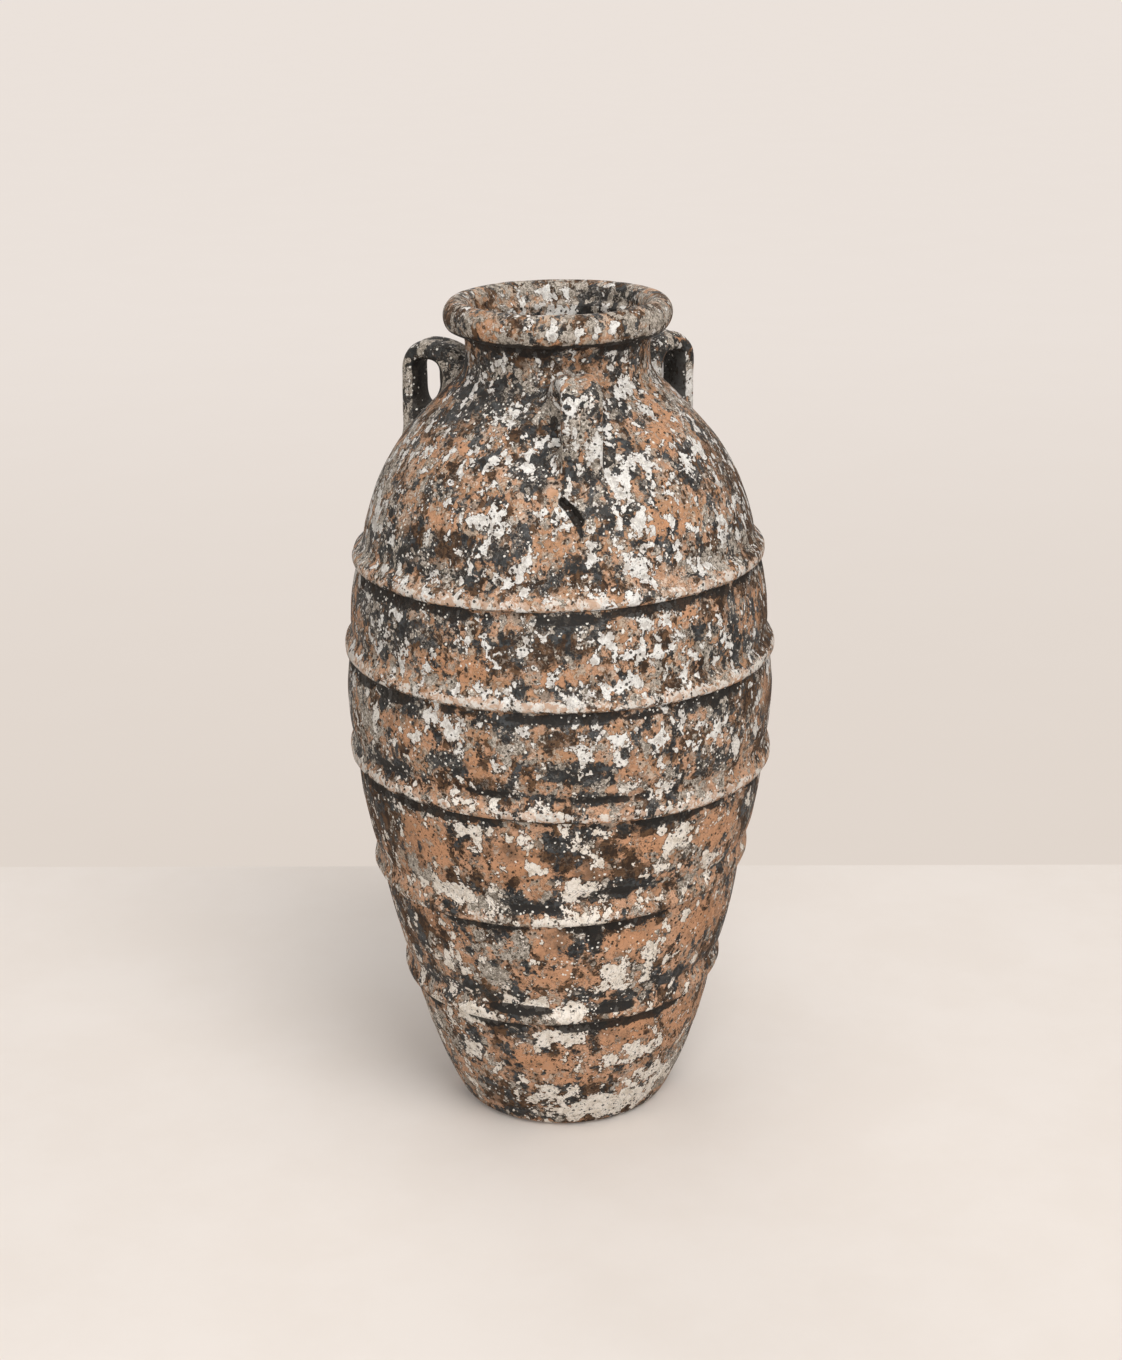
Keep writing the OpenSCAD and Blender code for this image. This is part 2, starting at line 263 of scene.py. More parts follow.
STAIN_REACH = 1.15      # both half sizes are stretched by this
BEHIND, BEHIND_SEED = 210, 1118
STAINS = (
    # cream lime
    ((-14, 787, 10, 6, .65), (10, 786, 14, 7, .55), (-14, 742, 8, 8, .5), (34, 726, 12, 14, .7),
     (-3, 712, 3, 22, .8), (4, 708, 3, 20, .9), (-17, 684, 6, 6, .7), (-27, 676, 8, 9, .6),
     (-50, 672, 8, 10, .6), (50, 668, 8, 22, .6), (27, 665, 5, 16, .7), (-40, 664, 9, 9, .5),
     (13, 664, 5, 16, .7), (-20, 648, 7, 9, .5), (-31, 628, 8, 10, .5), (-8, 628, 5, 7, .5),
     (9, 606, 8, 26, .6), (30, 606, 7, 16, .5), (56, 606, 10, 20, .5), (19, 604, 7, 14, .6),
     (-24, 586, 7, 10, .8), (20, 540, 7, 10, .5), (-27, 524, 8, 8, .6), (12, 522, 13, 30, .55),
     (-10, 494, 3, 8, .5), (6, 488, 10, 8, .7), (-33, 446, 8, 9, .8), (4, 436, 9, 12, .6),
     (27, 432, 9, 14, .8), (52, 412, 7, 12, .6), (-31, 346, 6, 9, .9), (-17, 339, 6, 9, 1),
     (25, 335, 7, 14, .9), (-15, 311, 4, 7, 1.1), (44, 298, 7, 10, .6), (-3, 292, 6, 11, 1.1),
     (-46, 279, 12, 7, 1), (-8, 258, 10, 7, 1.2), (36, 240, 5, 9, .6), (21, 206, 6, 14, 1),
     (22, 204, 6, 8, .7), (8, 198, 4, 10, 1), (-52, 190, 7, 9, .6), (4, 184, 4, 9, .5),
     (-14, 160, 6, 7, .7), (-6, 150, 6, 10, 1.2), (-42, 142, 9, 8, 1), (-48, 128, 9, 7, .8),
     (-9, 122, 9, 12, 1.2), (-46, 88, 7, 10, .8), (20, 88, 11, 10, 1.1), (36, 44, 14, 18, 1),
     (-12, 40, 11, 12, .8), (14, 24, 22, 15, 1.5)),
    # dark soot
    ((20, 758, 20, 7, .7), (2, 738, 8, 7, .8), (-58, 728, 24, 24, 1), (-36, 722, 16, 18, .7),
     (24, 716, 5, 16, .6), (12, 676, 3, 12, .7), (-17, 672, 6, 15, .8), (1, 672, 5, 9, .7),
     (21, 672, 6, 22, .7), (42, 664, 7, 14, .4), (3, 640, 7, 8, .8), (14, 634, 4, 8, .6),
     (-28, 606, 7, 8, .7), (-4, 596, 5, 10, .7), (-62, 590, 16, 14, .8), (28, 590, 10, 5, .3),
     (-46, 582, 12, 7, .7), (-6, 548, 10, 6, 1), (-62, 524, 14, 24, .8), (33, 524, 5, 14, .5),
     (-76, 520, 10, 30, .5), (46, 500, 10, 20, .7), (-8, 484, 12, 6, .8), (-9, 459, 14, 5, 1),
     (32, 458, 12, 7, .8), (-56, 452, 9, 8, .7), (-22, 452, 8, 6, .6), (-37, 410, 5, 9, .8),
     (-3, 410, 9, 10, .9), (35, 398, 8, 8, .6), (-62, 388, 14, 7, .9), (-26, 388, 9, 6, .7),
     (0, 385, 12, 6, .8), (10, 352, 12, 5, .8), (-3, 338, 8, 10, 1), (5, 288, 12, 9, 1),
     (-20, 273, 12, 7, 1), (2, 236, 2.5, 16, 1.2), (30, 170, 10, 7, .7), (12, 166, 9, 6, .6),
     (-58, 164, 10, 8, .7), (-36, 164, 14, 8, 1), (8, 153, 7, 6, 1.4), (-22, 152, 9, 6, 1.4),
     (3, 132, 4, 7, .7), (3, 126, 2.5, 14, 1.2), (-22, 14, 16, 8, .8)),
    # brown earth
    ((-88, 782, 16, 14, .8), (28, 776, 7, 5, .8), (-30, 756, 26, 10, .7), (-20, 716, 10, 14, .5),
     (-66, 700, 16, 18, .6), (-9, 690, 3, 12, .8), (72, 620, 14, 60, .9), (-45, 604, 17, 12, 1),
     (-12, 577, 9, 5, .9), (62, 556, 12, 16, .9), (-46, 524, 7, 10, .6), (-12, 522, 11, 14, 1),
     (74, 500, 13, 30, 1), (60, 470, 8, 18, .8), (50, 446, 10, 16, .6), (-8, 440, 8, 9, .7),
     (74, 410, 12, 30, 1), (-11, 366, 9, 7, .8), (18, 350, 9, 8, .8), (-70, 330, 14, 34, .9),
     (62, 330, 10, 24, .7), (-5, 326, 10, 12, 1), (5, 300, 9, 14, .9), (-40, 288, 8, 9, .5),
     (3, 248, 9, 8, .9), (-66, 214, 14, 26, .7), (58, 180, 12, 16, .7), (-28, 126, 9, 9, 1),
     (-34, 34, 14, 16, .9)),
    # grey ash
    ((-64, 786, 12, 10, .7), (50, 784, 26, 12, .8), (-32, 773, 14, 5, 1), (-38, 738, 14, 14, .5),
     (62, 715, 14, 25, .6), (-2, 704, 5, 26, .8), (6, 690, 5, 22, .6), (-52, 650, 14, 8, .5),
     (-84, 640, 14, 60, .6), (44, 586, 16, 12, .7), (28, 514, 9, 20, .6), (-46, 486, 14, 7, .6),
     (34, 440, 8, 14, .5), (-17, 428, 7, 12, .8), (-72, 425, 9, 30, .8), (18, 394, 8, 9, .5),
     (26, 312, 8, 14, .7), (-52, 300, 8, 18, .7), (-28, 280, 12, 8, .8), (-6, 240, 4, 9, .7),
     (-25, 226, 10, 20, 1), (-32, 190, 12, 12, .8), (-70, 92, 14, 26, .7), (52, 46, 16, 26, .7),
     (-58, 40, 12, 20, .7)),
    # warm, bare clay
    ((-42, 784, 11, 10, 1), (-12, 776, 13, 5, 1), (8, 756, 16, 8, .7), (45, 705, 16, 20, .5),
     (0, 700, 1.5, 30, .9), (34, 688, 9, 12, .8), (-54, 682, 16, 18, .5), (-34, 650, 9, 14, .4),
     (60, 640, 12, 22, .5), (-48, 628, 9, 9, .5), (28, 628, 9, 16, .8), (-11, 612, 7, 22, .6),
     (26, 540, 8, 10, .5), (62, 520, 12, 24, .7), (-36, 500, 14, 14, .8), (-7, 500, 8, 14, .6),
     (-50, 430, 9, 14, .7), (64, 430, 9, 24, .6), (-28, 414, 7, 12, .9), (9, 414, 8, 10, .5),
     (14, 330, 10, 18, .8), (40, 326, 10, 22, .8), (-48, 322, 13, 22, .9), (-20, 318, 10, 22, 1),
     (-2, 306, 8, 9, .8), (56, 286, 12, 14, .6), (-50, 232, 8, 14, .7), (-11, 226, 6, 20, 1),
     (14, 226, 10, 18, 1), (44, 222, 14, 24, .9), (-8, 192, 12, 12, .8), (14, 118, 12, 20, 1),
     (44, 110, 14, 22, .7), (-20, 90, 14, 14, .9), (-4, 68, 12, 8, .7)),
)


def all_stains():
    """The stains above, and about as many of the same kinds on the side turned away."""
    rng = np.random.default_rng(BEHIND_SEED)
    behind = [(int(rng.choice(5, p=(.26, .24, .14, .12, .24))), rng.uniform(84, 276), rng.uniform(8, 760),
               rng.uniform(5, 15), rng.uniform(6, 24), rng.uniform(.5, 1)) for _ in range(BEHIND)]
    return [(kind, *stain) for kind in range(5) for stain in STAINS[kind]] + behind


def stains_at(points, shares):
    """How much of each kind of stain lies on each point, and shares at least."""
    a, _, z = polar(points)
    a = np.degrees(a)
    found = np.zeros((len(points), 5))
    for kind, angle, height, wide, tall, strength in all_stains():
        da = (a - angle + 180) % 360 - 180
        near = (da / (wide * STAIN_REACH)) ** 2 + ((z - height) / (tall * STAIN_REACH)) ** 2
        found[:, kind] = np.maximum(found[:, kind], strength * np.exp(-near ** 1.5))
    return np.maximum(found, shares)


# Meshes and their maps

MAP_TILE, INSIDE_ROOM = 0.49, 0.3    # a tile's share of the map, and the room for what lies inside
BROAD_ENDS = (330, 480)              # the heights over which broad patches give way to small ones


def thread(points, step):
    """The same line with points added, so that no two are further apart than step."""
    out = []
    for a, b in zip(points[:-1], points[1:]):
        n = max(1, int(np.ceil(np.linalg.norm(b - a) / step)))
        out += [mix(a, b, k / n) for k in range(n)]
    return np.array(out + [points[-1]])


def add_thing(name, data):
    thing = bpy.data.objects.new(name, data)
    scene.collection.objects.link(thing)
    return thing


def add_mesh(name, points, faces, uvs, material, sharp=50):
    """A smooth-shaded piece from points in mm. Edges sharper than sharp degrees stay crisp."""
    mesh = bpy.data.meshes.new(name)
    mesh.from_pydata((points * MM).tolist(), [], faces)
    layer = mesh.uv_layers.new(name="OFBake")
    layer.uv.foreach_set("vector", np.asarray(uvs, np.float32).ravel())
    mesh.shade_smooth()
    mesh.set_sharp_from_angle(angle=np.radians(sharp))
    mesh.materials.append(material)
    return add_thing(name, mesh)


def paint(piece, points, shares, highlight_and_wear, shade_and_soot):
    """Writes what lies on the piece's points, and its painted highlight and painted shade, for its material.
    Low on the jar, patches are broad.
    """
    found = stains_at(points, shares)
    broad = 1 - smooth(points[:, 2] + 40 * noise(points, 90, 111), *BROAD_ENDS)
    none = np.zeros(len(points))
    more = (found[:, 4], highlight_and_wear + none, shade_and_soot + none, broad)
    for name, columns in (("stain_a", found.T[:4]), ("stains_and_painted_light", more)):
        layer = piece.data.attributes.new(name, "FLOAT_COLOR", "POINT")
        layer.data.foreach_set("color", np.stack(columns, 1).astype(np.float32).ravel())


def turned_piece(name, section, outer_points, material, turns):
    """A closed section of (radius, height) spun about the axis. turns are the angles, in order. The map
    has four quarters of the turn, two above two, with the most room for what the section starts with,
    its outer points."""
    n, m = len(section), len(turns)
    points = from_polar(turns, section[:, :1], section[:, 1:]).reshape(-1, 3)
    i, j = np.meshgrid(np.arange(n), np.arange(m), indexing="ij")
    i2, j2 = (i + 1) % n, (j + 1) % m
    faces = np.stack([i * m + j, i * m + j2, i2 * m + j2, i2 * m + j], -1).reshape(-1, 4)
    steps = np.linalg.norm(np.roll(section, -1, 0) - section, axis=1)
    steps *= np.where(np.arange(n) < outer_points, 1, INSIDE_ROOM)
    v = np.concatenate([[0], np.cumsum(steps)]) / steps.sum()
    ends = np.append(turns, turns[0] + 2 * np.pi)
    u = (ends - ends[0]) / (2 * np.pi) * 4
    quarter = np.minimum((u[j] + 1e-6).astype(int), 3)
    u0, u1 = u[j] - quarter, u[j + 1] - quarter
    v0, v1 = v[i], v[i + 1]
    right, top = (quarter % 2) * 0.5, (quarter // 2) * 0.5
    corners = np.stack([np.stack([x, y], -1) for x, y in ((u0, v0), (u1, v0), (u1, v1), (u0, v1))], 2)
    uvs = np.stack([right, top], -1)[..., None, :] + corners * MAP_TILE
    off_axis = (np.maximum(section[i, 0], section[i2, 0]) > 1e-6).ravel()
    faces, uvs = faces[off_axis], uvs.reshape(-1, 4, 2)[off_axis]
    return add_mesh(name, points, faces.tolist(), uvs, material), points


def even_turns(count):
    return np.linspace(-np.pi, np.pi, count, endpoint=False)


def front_turns(count, low, high, step):
    """Even turns, but closer together between two angles in degrees."""
    base = even_turns(count)
    low, high = np.radians(low), np.radians(high)
    fine = np.arange(low, high, np.radians(step))
    apart = 0.004
    return np.sort(np.concatenate([base[(base < low - apart) | (base > high + apart)], fine]))


# Sections of the turned pieces

length_along = np.concatenate([[0], np.cumsum(np.linalg.norm(np.diff(outline, axis=0), axis=1))])


def along(z):
    """How far along the outline height z is."""
    return np.interp(z, outline[:, 1], length_along)


def outer_run(low, high, tuck_low=0.0, tuck_high=0.0, step=2.2, fine=None):
    """The outside of the wall between two heights. A tucked end runs on under the next piece, sinking
    a little, so that the join doesn't show. fine is (from, to, step) for a closer stretch."""
    start, end = along(low), along(high)
    s = np.linspace(start, end, max(2, int((end - start) / step)) + 1)
    if fine:
        a, b = along(fine[0]), along(fine[1])
        s = np.sort(np.concatenate([s[(s < a) | (s > b)], np.arange(a, b, fine[2])]))
    if tuck_low:
        s = np.concatenate([start - tuck_low * np.linspace(1, 0.25, 4), s])
    if tuck_high:
        s = np.concatenate([s, end + tuck_high * np.linspace(0.25, 1, 4)])
    past = np.maximum(np.maximum(start - s, s - end), 0) / 5
    p = np.stack([np.interp(s, length_along, outline[:, k]) for k in (0, 1)], 1)
    nr, nz = facing(p[:, 1])
    return p - np.stack([nr, nz], 1) * (0.5 * past ** 2)[:, None]


def lap_low(i):
    return joints[i] - [WALL / 2, 0]


def lap_top(i, depth):
    """The lap's top at joint i, at a depth in from the outside."""
    outside = ring_outside(i, joints[i][1] + LAP) if i < 5 else joints[5] + upright(SHOULDER_LEAN) * LAP
    return outside - [depth, 0]


neck_way, neck_in = upright(NECK_LEAN), upright(NECK_LEAN + 90)
neck_lap_low = neck_joint + neck_in * WALL / 2
neck_lap_top = neck_lap_low + neck_way * LAP
neck_lap_inside = neck_lap_top + neck_in * WALL / 2
THROAT = NECK - NECK_WALL
rim_lap = (THROAT + rim_joint[0]) / 2
throat_top = rim_seat + LAP
throat_bottom = throat_top - THROAT_LENGTH
COARSE, THROAT_POINTS = 7, 14
# Where the shoulder's mesh is closer, as (from, to, step): heights in mm and angles in degrees
GOUGE_HEIGHTS, GOUGE_ANGLES = (611, 654, 0.9), (-13, 8, 0.32)


def closed(outside, corners, step=COARSE, also=0):
    """A section from its outer points and the corners of the rest, and how many of its points are outer."""
    return np.vstack([outside, thread(np.vstack(corners), step)]), len(outside) + also


def slab_section():
    inside = lap_top(0, WALL)
    corner = cubic([inside, inside - upright(-HEEL_LEAN) * (inside[1] - FLOOR),
                    [inside[0] - HEEL / 2, FLOOR], [inside[0] - HEEL, FLOOR]], 12)
    under = thread(np.array([[0, 0], [FOOT, 0]], float), 6)
    outside = outer_run(0.05, joints[0][1], tuck_high=5, step=1.6)
    return closed(np.vstack([under, outside]), [[lap_low(0), lap_top(0, WALL / 2)], corner, [[0, FLOOR]]], 6)


def ring_section(i):
    low, high = joints[i][1], joints[i + 1][1]
    outside = outer_run(low, high, tuck_low=0 if i else 5)
    inner_z = np.linspace(high, low, 20)[1:-1]
    return closed(outside, [[lap_low(i + 1), lap_top(i + 1, WALL / 2), lap_top(i + 1, WALL)],
                            ring_outside(i, inner_z[inner_z > low + LAP + 2]) - [WALL, 0],
                            [lap_top(i, WALL), lap_top(i, WALL / 2), lap_low(i)]])


def shoulder_section():
    outside = outer_run(joints[5][1], neck_joint[1], tuck_high=5, fine=GOUGE_HEIGHTS)
    inner = inset(shoulder_line, WALL)[::-1]
    inner = inner[(inner[:, 1] > joints[5][1] + LAP + 2)][1::3]
    return closed(outside, [[neck_lap_low, neck_lap_top, neck_lap_inside], inner,
                            [lap_top(5, WALL), lap_top(5, WALL / 2), lap_low(5)]])


def neck_section():
    outside = outer_run(neck_joint[1], rim_seat, tuck_low=5, step=1.6)
    reach = (throat_bottom - neck_lap_inside[1]) * PULL
    belly = cubic([[THROAT, throat_bottom], [THROAT, throat_bottom - reach],
                   neck_lap_inside + neck_way * reach, neck_lap_inside], 16)
    return closed(outside, [[[rim_lap, rim_seat], [rim_lap, throat_top], [THROAT, throat_top]],
                            belly, [neck_lap_top, neck_lap_low]], 4, THROAT_POINTS)


def rim_section():
    middle = np.array([NECK + RIM_OVERHANG, JAR_HEIGHT - RIM_HEIGHT / 2])
    a = np.radians(np.arange(-105, 181, 4))
    roll = middle + np.stack([RIM_WIDTH / 2 * np.cos(a), RIM_HEIGHT / 2 * np.sin(a)], 1)
    funnel = cubic([roll[-1], roll[-1] - [0, 4.5], [THROAT + 0.4, throat_top + 5],
                    [THROAT + 0.3, throat_top - 4]], 12)[1:]
    shape = np.vstack([[rim_joint], roll, funnel])
    return closed(shape, [[rim_lap, throat_top - 2], [rim_lap, rim_seat + 1]], 4)


def rounded(line):
    """Cuts the corners of an open line, and those that are left once more."""
    for _ in range(2):
        a, b = line[:-1], line[1:]
        line = np.vstack([line[:1], np.stack([0.75 * a + 0.25 * b, 0.25 * a + 0.75 * b], 1).reshape(-1, 2),
                          line[-1:]])
    return line


# A band's outside, as (height over its joint, how far it stands out), from its undercut foot to its long top
BAND_SHAPE = ((-9.6, -1.0), (-8.5, 0.4), (-8.4, 3.2), (-7.0, 5.6), (-3.6, 6.5), (-0.4, 6.6), (2.6, 5.9),
              (5.2, 4.1), (7.6, 2.2), (10.2, 0.9), (13.0, 0.2), (16.5, -0.5))
SHAPE_HEIGHT, SHAPE_PROUD = 16, 6.6


def band_section(i):
    shape = rounded(np.array(BAND_SHAPE) * [BAND_HEIGHT / SHAPE_HEIGHT, BAND_PROUD / SHAPE_PROUD])
    z = joints[i + 1][1] + shape[:, 0]
    nr, nz = facing(z)
    shape = np.stack([body(z) + shape[:, 1] * nr, z + shape[:, 1] * nz], 1)
    z = joints[i + 1][1] + np.array([8.0, 0.0, -6.0])
    return np.vstack([shape, np.stack([body(z) - 2.5, z], 1)]), len(shape)


# The strap handles

gap_middle = np.array([REACH - STRAP - GAP / 2, JAR_HEIGHT - DROP - STRAP - GAP / 2])
root_radius = NECK - BURIAL


def body_height(r):
    """The height of the shoulder or neck at radius r."""
    upper = np.vstack([shoulder_line, neck_line[1:]])
    return np.interp(-r, -upper[:, 0], upper[:, 1])


FOOT_SPREAD_HEIGHT, FOOT_RUN_OUT, POWER, SIDES = 30, 9, 2.6, 96
FILLET, GAP_FILLET, RIB_WIDTH, CAP_PLACE, CAP_SIZE = 7, 13, 0.26, 0.99, 0.005


def strap_stations():
    """Inner point, outer point and half width of the strap, from its root in the neck to its foot."""
    out, half = [], STRAP_WIDTH / 2
    root_bottom = body_height(gap_middle[0] - GAP / 2) - BURIAL
    foot_bottom = body_height(REACH + FOOT_RUN_OUT) - BURIAL / 2
    foot_top = foot_bottom + FOOT_SPREAD_HEIGHT
    deepest = gap_middle[0] - root_radius - GAP / 2
    for t in np.linspace(0, 1, 16)[:-1]:
        z = mix(root_bottom, gap_middle[1], t)
        out.append(([gap_middle[0] - GAP / 2, z], [root_radius, z], half + SPREAD))
    for a in np.arange(180, -1, -4):
        back = max(0, (a - 90) / 90)
        way = np.array([np.cos(np.radians(a)), np.sin(np.radians(a))])
        inner = GAP / 2 - 3 * way[1] ** 3
        deep = mix(STRAP, deepest, back * back)
        out.append((gap_middle + inner * way, gap_middle + (GAP / 2 + deep) * way, half + SPREAD * back))
    leg = np.linspace(gap_middle[1], foot_top, 14)
    foot = np.linspace(foot_top, foot_bottom, 22)
    for z in (*leg[1:], *foot[1:]):
        spread = max(0, (foot_top - z) / FOOT_SPREAD_HEIGHT) ** 2
        out.append(([gap_middle[0] + GAP / 2, z], [REACH + FOOT_RUN_OUT * spread, z], half + SPREAD * spread))
    return out


def handle_piece(name, turn, seed, material):
    """A pulled strap with two ribs, worked onto the neck and the shoulder with a fillet of clay."""
    b = np.linspace(0, 2 * np.pi, SIDES, endpoint=False)
    across, out = (np.sign(way) * np.abs(way) ** (2 / POWER) for way in (np.sin(b), np.cos(b)))
    rows = []
    for inner, outer, half in strap_stations():
        inner, outer = np.array(inner), np.array(outer)
        thick = np.linalg.norm(outer - inner)
        way = (outer - inner) / thick
        ribs = np.where(out > 0, GROOVE * np.exp(-(across / RIB_WIDTH) ** 2), 0)
        p = (inner + outer) / 2 + way * (out * thick / 2 - ribs)[:, None]
        rows.append(np.stack([half * across, -p[:, 0], p[:, 1]], 1))
    grid = np.array(rows)
    n = len(grid)
    # lumps, and then the fillet, which spreads each end over the wall that it meets
    normal = np.cross(np.roll(grid, -1, 1) - np.roll(grid, 1, 1), np.gradient(grid, axis=0))
    normal = unit(normal, 1e-9)
    centre = grid.mean(1, keepdims=True)
    if ((grid - centre) * normal).sum() < 0:
        normal = -normal
    flat = grid.reshape(-1, 3)
    _, r, z = polar(flat)
    nr, nz = facing(z)
    away = (r - body(z)) * nr
    wall_way = np.stack([nr * flat[:, 0] / r, nr * flat[:, 1] / r, nz], 1)
    flat_normal = normal.reshape(-1, 3)
    lumps = 0.55 * noise(flat, 26, seed, 2) + 0.22 * noise(flat, 8, seed + 1)
    flat = flat + flat_normal * lumps[:, None]
    slide = flat_normal - wall_way * (flat_normal * wall_way).sum(1)[:, None]
    slide = unit(slide, 0.3)
    in_gap = np.tile(smooth(-out, 0.0, 0.7), n) * np.repeat(np.arange(n) > n * 0.5, SIDES)
    radius = FILLET + GAP_FILLET * in_gap
    gap = np.clip(radius - np.maximum(away, 0), 0, radius)
    flat = flat + slide * (radius - np.sqrt(radius ** 2 - gap ** 2))[:, None]
    # the turn about the axis
    t = np.radians(turn)
    points = np.stack([flat[:, 0] * np.cos(t) - flat[:, 1] * np.sin(t),
                       flat[:, 0] * np.sin(t) + flat[:, 1] * np.cos(t), flat[:, 2]], 1)
    faces, uvs = [], []
    for k in range(n - 1):
        half = k * 2 // (n - 1)
        v0, v1 = k / (n - 1) * 2 - half, (k + 1) / (n - 1) * 2 - half
        v1 = min(v1, 1)
        for j in range(SIDES):
            j2 = (j + 1) % SIDES
            faces.append((k * SIDES + j, (k + 1) * SIDES + j, (k + 1) * SIDES + j2, k * SIDES + j2))
            u0, u1 = j / SIDES, (j + 1) / SIDES
            corners = (u0, v0), (u0, v1), (u1, v1), (u1, v0)
            uvs += [(half * 0.5 + u * MAP_TILE, v * 2 * MAP_TILE) for u, v in corners]
    for k, ring in ((0, range(SIDES)), (n - 1, range(SIDES - 1, -1, -1))):
        faces.append([k * SIDES + j for j in ring])
        uvs += [(CAP_PLACE + CAP_SIZE * np.cos(x), CAP_PLACE + CAP_SIZE * np.sin(x)) for x in b]
    return add_mesh(name, points, faces, uvs, material, 70), points, np.tile(out, n)


# The weathered finish: each number below is a share, a noise value or a size in metres

def colour(code):
    """A hex colour as Blender's linear one."""
    c = np.array([int(code[k:k + 2], 16) for k in (0, 2, 4)]) / 255
    return (*np.where(c <= 0.04045, c / 12.92, ((c + 0.055) / 1.055) ** 2.4), 1)


class Wires:
    """Short ways to add and join the nodes of a material or of the world."""

    def __init__(self, name, tree=None):
        if tree is None:
            self.material = bpy.data.materials.new(name)
            self.material.use_nodes = True
            tree = self.material.node_tree
        self.tree = tree
        tree.nodes.clear()

    def put(self, kind, inputs=(), **settings):
        """Adds a node, and wires or sets its inputs."""
        node = self.tree.nodes.new("ShaderNode" + kind)
        for key, value in settings.items():
            setattr(node, key, value)
        for key, value in dict(inputs).items():
            if isinstance(value, bpy.types.NodeSocket):
                self.tree.links.new(value, node.inputs[key])
            else:
                node.inputs[key].default_value = value
        return node

    def math(self, operation, *values, kind="Math"):
        return self.put(kind, dict(enumerate(values)), operation=operation).outputs[0]

    def sum(self, *terms):
        """Adds sockets, numbers and (socket or number, factor) pairs."""
        total = 0
        for term in terms:
            value, factor = term if isinstance(term, tuple) else (term, 1)
            total = self.math("MULTIPLY_ADD", value, factor, total)
        return total

    def times(self, a, b):
        return self.math("MULTIPLY", a, b)

    def step(self, value, low, high):
        """0 below low and 1 over high, smoothly."""
        return self.put("MapRange", {"Value": value, "From Min": low, "From Max": high},
                        interpolation_type="SMOOTHSTEP").outputs[0]

    def layer(self, share, under, over):
        """As much of over as share says, laid on under. A colour may be given as a hex code."""
        under, over = (colour(c) if isinstance(c, str) else c for c in (under, over))
        return self.put("Mix", {"Factor": share, 6: under, 7: over}, data_type="RGBA").outputs[2]

    def moved(self, place, by):
        return self.math("ADD", place, by, kind="VectorMath")

    def split(self, value):
        return self.put("SeparateColor", {0: value}).outputs

    def cloud(self, place, size, detail=4, rough=0.6, twist=0, tint=False):
        """Fractal noise with lumps about size metres across."""
        node = self.put("TexNoise", {"Vector": place, "Scale": 1 / size, "Detail": detail,
                                     "Roughness": rough, "Distortion": twist})
        return node.outputs["Color" if tint else "Fac"]

    def bent(self, place, size, reach):
        """Places pushed about by up to reach metres, in swirls about size metres across."""
        push = self.cloud(place, size, 1, 0.5, tint=True)
        return self.math("MULTIPLY_ADD", push, (reach,) * 3, place, kind="VectorMath")

    def cells(self, place, size):
        """Distance from the middle of scattered cells, and three random numbers for each."""
        node = self.put("TexVoronoi", {"Vector": place, "Scale": 1 / size})
        return node.outputs["Distance"], *self.split(node.outputs["Color"])

    def finished(self, inputs):
        """The material, with its one shader wired up."""
        shader = self.put("BsdfPrincipled", inputs)
        self.put("OutputMaterial", {0: shader.outputs[0]})
        return self.material


